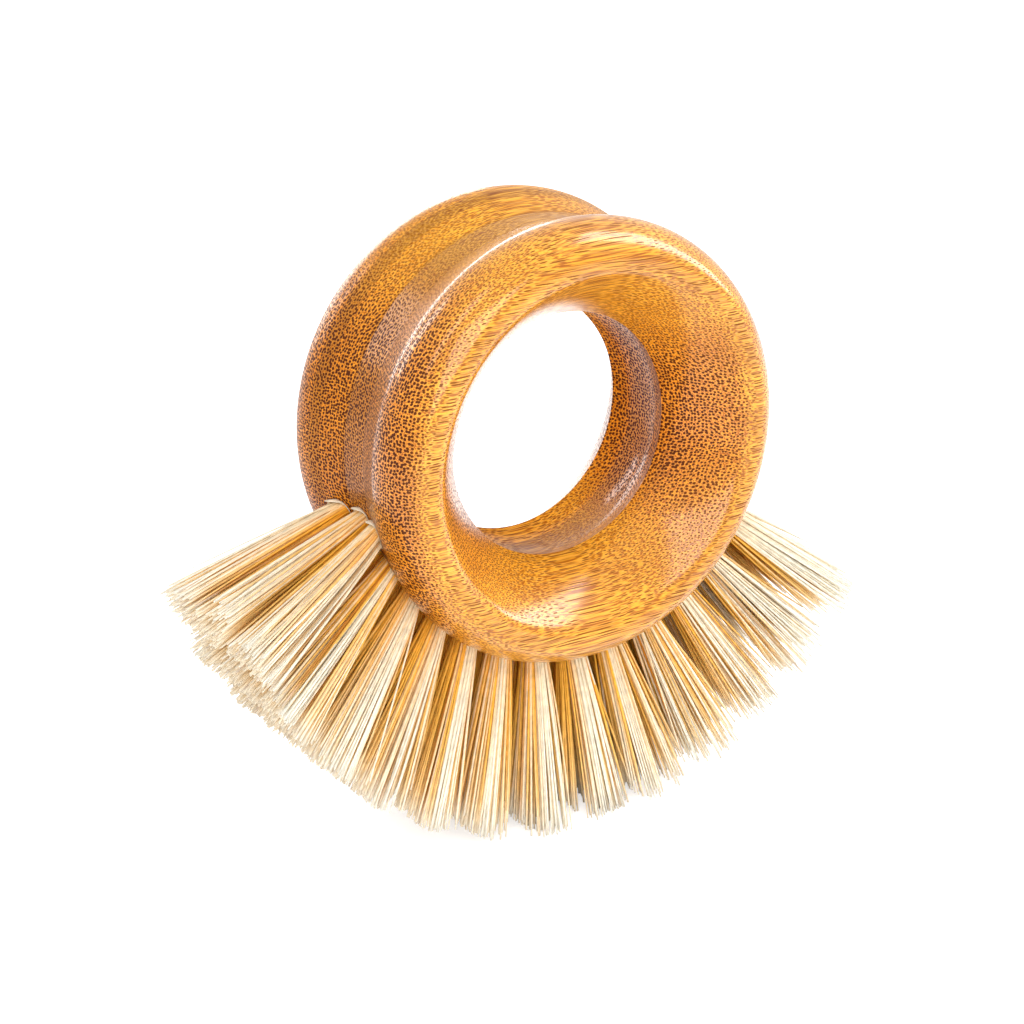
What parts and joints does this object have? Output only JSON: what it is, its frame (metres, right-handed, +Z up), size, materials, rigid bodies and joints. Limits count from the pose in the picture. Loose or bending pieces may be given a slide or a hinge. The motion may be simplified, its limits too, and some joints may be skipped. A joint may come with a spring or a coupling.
{
  "type": "ring-handled vegetable brush",
  "caption": "Vegetable brush: a turned bamboo ring handle with a finger hole, and plant-fibre tufts set in rows along the lower part of its groove.",
  "frame": {"origin": "on the table, below the middle of the brush's length and width", "axes": "+X to the right, along the brush's length, with the ring's axis along Y; the front face looks towards -Y; +Z up"},
  "size_m": [0.1112, 0.0356, 0.0954],
  "materials": {
    "bamboo": "clear gloss varnish over carbonised bamboo",
    "plant_fibre": "stiff natural fibre, satin",
    "staple_steel": "plain flat wire"
  },
  "bodies": {
    "root": {"handle_ring": "bamboo", "staples": "staple_steel", "tuft_rear_01": "plant_fibre", "tuft_rear_02": "plant_fibre", "tuft_rear_03": "plant_fibre", "tuft_rear_04": "plant_fibre", "tuft_rear_05": "plant_fibre", "tuft_rear_06": "plant_fibre", "tuft_rear_07": "plant_fibre", "tuft_rear_08": "plant_fibre", "tuft_rear_09": "plant_fibre", "tuft_rear_10": "plant_fibre", "tuft_rear_11": "plant_fibre", "tuft_rear_12": "plant_fibre", "tuft_rear_13": "plant_fibre", "tuft_middle_01": "plant_fibre", "tuft_middle_02": "plant_fibre", "tuft_middle_03": "plant_fibre", "tuft_middle_04": "plant_fibre", "tuft_middle_05": "plant_fibre", "tuft_middle_06": "plant_fibre", "tuft_middle_07": "plant_fibre", "tuft_middle_08": "plant_fibre", "tuft_middle_09": "plant_fibre", "tuft_middle_10": "plant_fibre", "tuft_middle_11": "plant_fibre", "tuft_middle_12": "plant_fibre", "tuft_middle_13": "plant_fibre", "tuft_front_01": "plant_fibre", "tuft_front_02": "plant_fibre", "tuft_front_03": "plant_fibre", "tuft_front_04": "plant_fibre", "tuft_front_05": "plant_fibre", "tuft_front_06": "plant_fibre", "tuft_front_07": "plant_fibre", "tuft_front_08": "plant_fibre", "tuft_front_09": "plant_fibre", "tuft_front_10": "plant_fibre", "tuft_front_11": "plant_fibre", "tuft_front_12": "plant_fibre", "tuft_front_13": "plant_fibre"}
  },
  "joints": []
}
